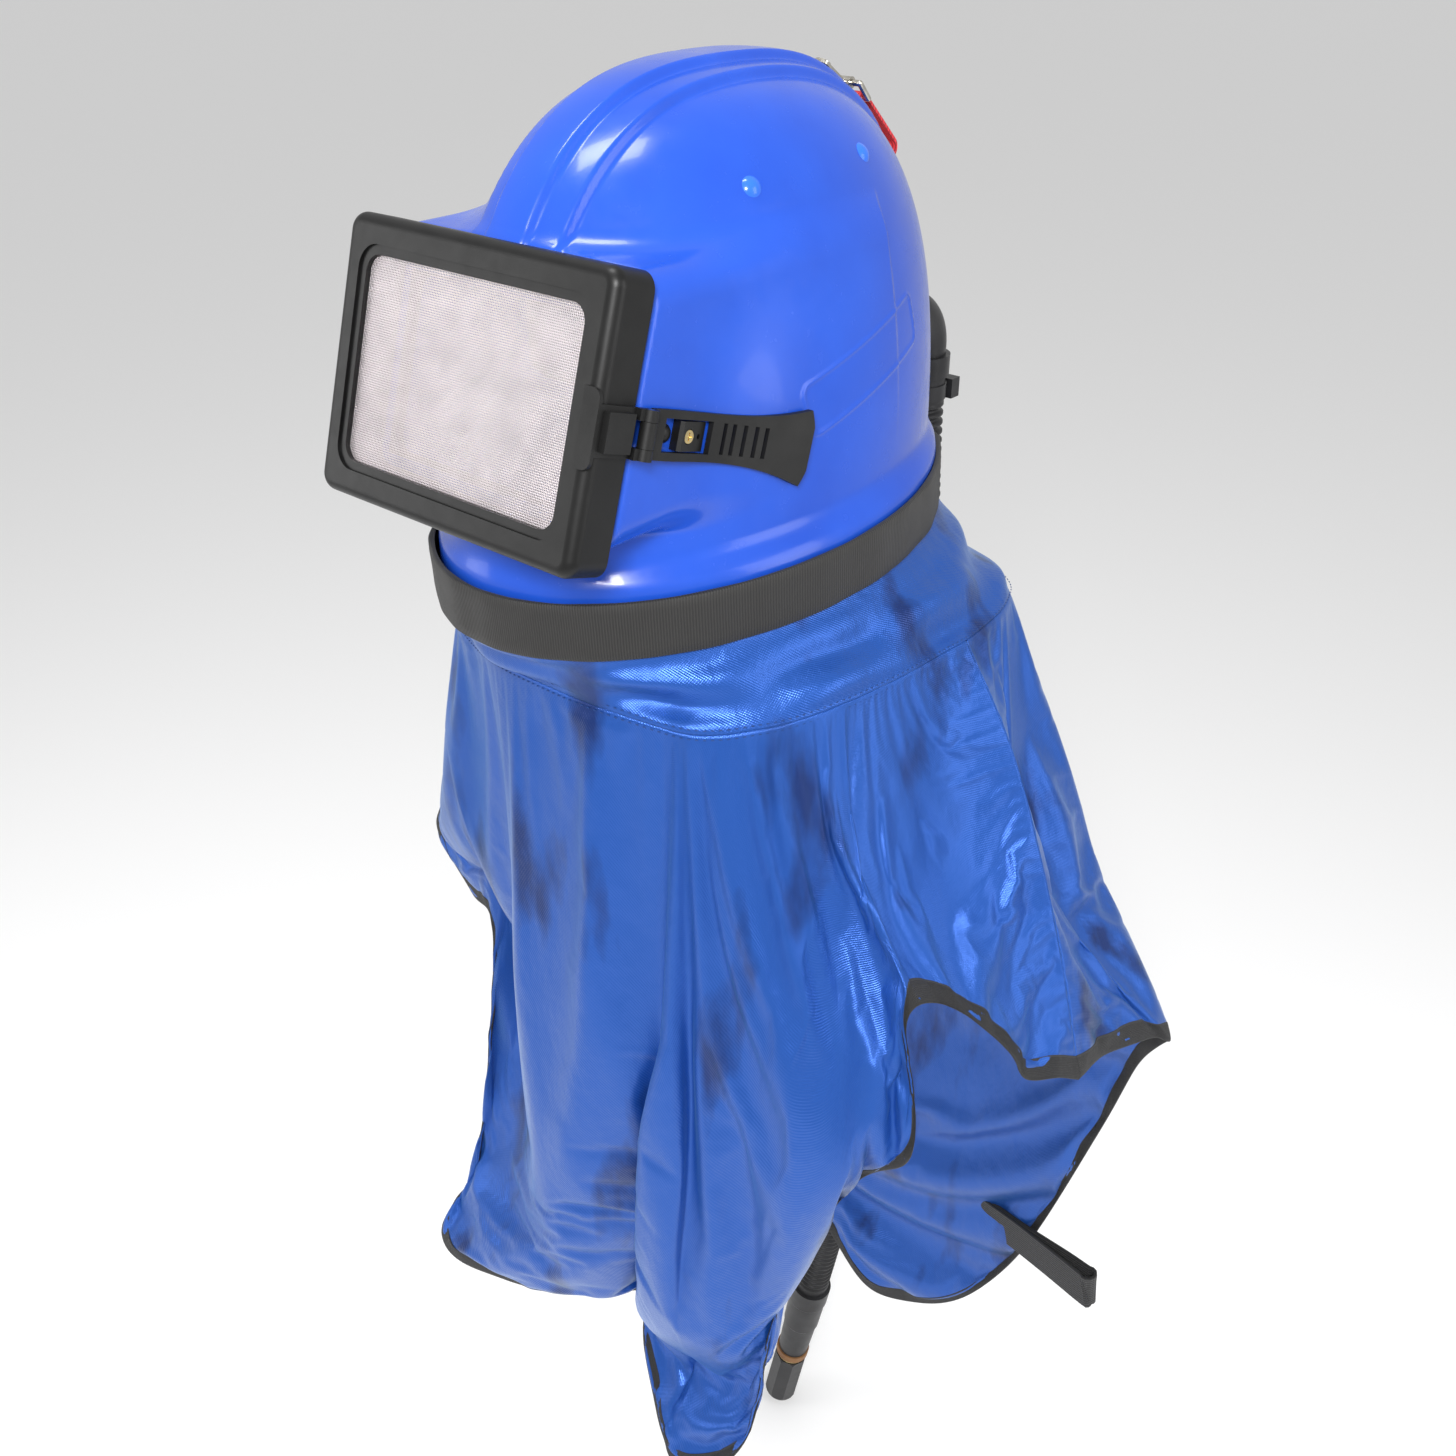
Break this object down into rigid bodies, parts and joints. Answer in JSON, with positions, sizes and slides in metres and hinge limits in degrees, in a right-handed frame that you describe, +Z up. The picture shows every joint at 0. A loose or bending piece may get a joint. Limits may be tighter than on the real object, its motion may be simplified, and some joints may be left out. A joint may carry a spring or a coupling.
{
  "type": "abrasive blasting hood",
  "caption": "Blasting hood: hard shell with hinged screened window and rubber latch, head harness, cloth cape on an elastic band, and breathing hose with a union nut.",
  "frame": {"origin": "head seat: the centre of the headband", "axes": "+X towards the wearer's left, -Y forward through the window, +Z up"},
  "size_m": [0.5336, 0.418, 1.3356],
  "materials": {
    "shell": "glossy moulded blue",
    "band": "ribbed elastic rubber",
    "frame": "satin black moulding",
    "wire_mesh": "fine woven wire",
    "rubber": "black rubber",
    "lens": "clear",
    "nickel": "nickel plated",
    "brass": "passivated brass",
    "rivet": "lighter blue plastic",
    "webbing": "black webbing",
    "harness_plastic": "semi-matt moulding",
    "foam_cloth": "padded sweatband",
    "red_webbing": "woven red webbing",
    "fitting": "black moulding",
    "hose": "corrugated black rubber",
    "brown_ring": "brown rubber",
    "cape": "satin blue nylon twill",
    "binding": "black tape binding"
  },
  "bodies": {
    "root": {"helmet_shell": "shell", "rim_band": "band", "window_gasket": "rubber", "inner_seal": "rubber", "inner_lens": "lens", "inner_lens_frame": "frame", "lens_screws": "nickel", "lens_posts": "nickel", "hinge_bracket": "frame", "hinge_pin": "nickel", "hinge_screws": "nickel", "latch_catch": "frame", "latch_screw": "brass", "latch_nut": "nickel", "latch_stud": "frame", "suspension_rivets": "rivet", "crown_strap_left": "webbing", "crown_strap_right": "webbing", "headband": "harness_plastic", "headband_buttons": "harness_plastic", "brow_pad": "foam_cloth", "ratchet_housing": "harness_plastic", "hang_bracket": "nickel", "hang_bolt": "nickel", "air_inlet_elbow": "fitting", "inlet_seal": "rubber", "inlet_nut": "fitting", "air_diffuser": "fitting", "air_hose": "hose", "hose_clamp": "nickel", "hose_cuff": "hose", "hose_ring": "brown_ring", "connector_nipple": "brass", "cape_yoke": "cape", "cape_front_panel": "cape", "cape_back_panel": "cape", "cape_front_binding": "binding", "cape_back_binding": "binding", "side_strap_left": "webbing", "side_strap_right": "webbing"},
    "window": {"window_frame": "frame", "mesh_screen": "wire_mesh", "lens_gasket": "rubber", "outer_lens": "lens", "lens_retainer": "frame", "latch_anchor": "rubber", "latch_pin": "nickel"},
    "latch": {"latch_strap": "rubber"},
    "knob": {"ratchet_knob": "frame"},
    "hanger": {"hang_ring": "nickel", "hang_loop": "red_webbing"},
    "nut": {"coupling_nut": "fitting"}
  },
  "joints": [
    {"name": "window_swing", "type": "hinge", "parent": "root", "child": "window", "pos_m": [-0.098, -0.14618, -0.00873], "axis": [0, -0.2974, -0.9548], "range_deg": [0, 110]},
    {"name": "latch_swing", "type": "hinge", "parent": "window", "child": "latch", "pos_m": [0.0975, -0.14331, -0.00962], "axis": [0, -0.2974, -0.9548], "range_deg": [0, 120]},
    {"name": "ratchet_knob_turn", "type": "hinge", "parent": "root", "child": "knob", "pos_m": [0, 0.1124, 0], "axis": [0, 1, 0], "range_deg": [-270, 270]},
    {"name": "hang_loop_swing", "type": "hinge", "parent": "root", "child": "hanger", "pos_m": [0, 0.12201, 0.10392], "axis": [1, 0, 0], "range_deg": [0, 120]},
    {"name": "coupling_nut_spin", "type": "hinge", "parent": "root", "child": "nut", "pos_m": [-0.07344, 0.205, -1.15847], "axis": [-0.1829, 0, -0.9831], "continuous": true}
  ]
}
